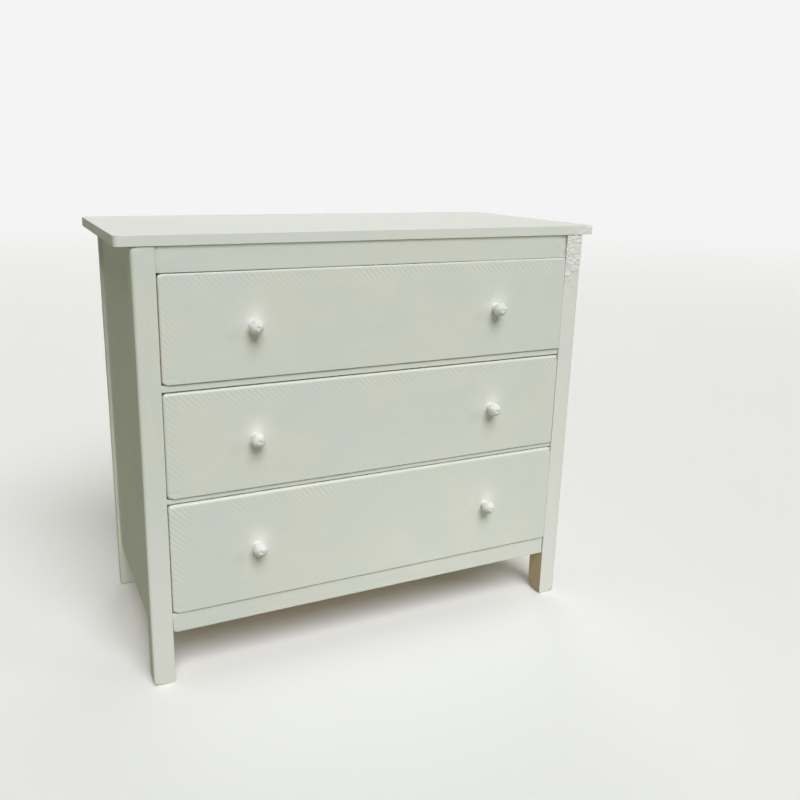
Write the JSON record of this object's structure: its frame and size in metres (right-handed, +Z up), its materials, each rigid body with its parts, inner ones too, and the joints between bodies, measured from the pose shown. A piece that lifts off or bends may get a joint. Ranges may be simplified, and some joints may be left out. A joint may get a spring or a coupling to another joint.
{
  "type": "miniature chest of drawers",
  "caption": "White painted dolls' house chest of drawers: square posts on short legs, recessed side panels, inset sliding drawers with small round knobs, and a thin overhanging top.",
  "frame": {"origin": "on the floor, under the middle of the bounding box, knobs included", "axes": "+X to the right as seen from the front, +Y towards the back, +Z up; the drawers open towards -Y"},
  "size_m": [0.0924, 0.0462, 0.08],
  "materials": {
    "painted_case": "satin white paint over wood",
    "painted_front": "satin white paint over fine diagonal ribbing",
    "painted_knob": "thick satin white paint",
    "bare_wood": "bare, fine sanded"
  },
  "bodies": {
    "case": {"top_board": "painted_case", "back_panel": "painted_case", "bottom_board": "bare_wood", "top_rail": "painted_case", "upper_mid_rail": "painted_case", "lower_mid_rail": "painted_case", "bottom_rail": "painted_case", "front_post_left": "painted_case", "front_post_right": "painted_case", "back_post_left": "painted_case", "back_post_right": "painted_case", "side_panel_left": "painted_case", "side_panel_right": "painted_case", "kicker_left": "bare_wood", "kicker_right": "bare_wood", "runner_1_left": "bare_wood", "runner_1_right": "bare_wood", "runner_2_left": "bare_wood", "runner_2_right": "bare_wood", "guide_1_left": "bare_wood", "guide_1_right": "bare_wood", "guide_2_left": "bare_wood", "guide_2_right": "bare_wood", "guide_3_left": "bare_wood", "guide_3_right": "bare_wood"},
    "drawer_1": {"drawer_1_front": "painted_front", "drawer_1_back": "bare_wood", "drawer_1_bottom": "bare_wood", "drawer_1_side_left": "bare_wood", "drawer_1_side_right": "bare_wood", "drawer_1_knob_left": "painted_knob", "drawer_1_knob_right": "painted_knob"},
    "drawer_2": {"drawer_2_front": "painted_front", "drawer_2_back": "bare_wood", "drawer_2_bottom": "bare_wood", "drawer_2_side_left": "bare_wood", "drawer_2_side_right": "bare_wood", "drawer_2_knob_left": "painted_knob", "drawer_2_knob_right": "painted_knob"},
    "drawer_3": {"drawer_3_front": "painted_front", "drawer_3_back": "bare_wood", "drawer_3_bottom": "bare_wood", "drawer_3_side_left": "bare_wood", "drawer_3_side_right": "bare_wood", "drawer_3_knob_left": "painted_knob", "drawer_3_knob_right": "painted_knob"}
  },
  "joints": [
    {"name": "drawer_1_slide", "type": "slide", "parent": "case", "child": "drawer_1", "axis": [0, -1, 0], "range_m": [0, 0.03]},
    {"name": "drawer_2_slide", "type": "slide", "parent": "case", "child": "drawer_2", "axis": [0, -1, 0], "range_m": [0, 0.03]},
    {"name": "drawer_3_slide", "type": "slide", "parent": "case", "child": "drawer_3", "axis": [0, -1, 0], "range_m": [0, 0.03]}
  ]
}
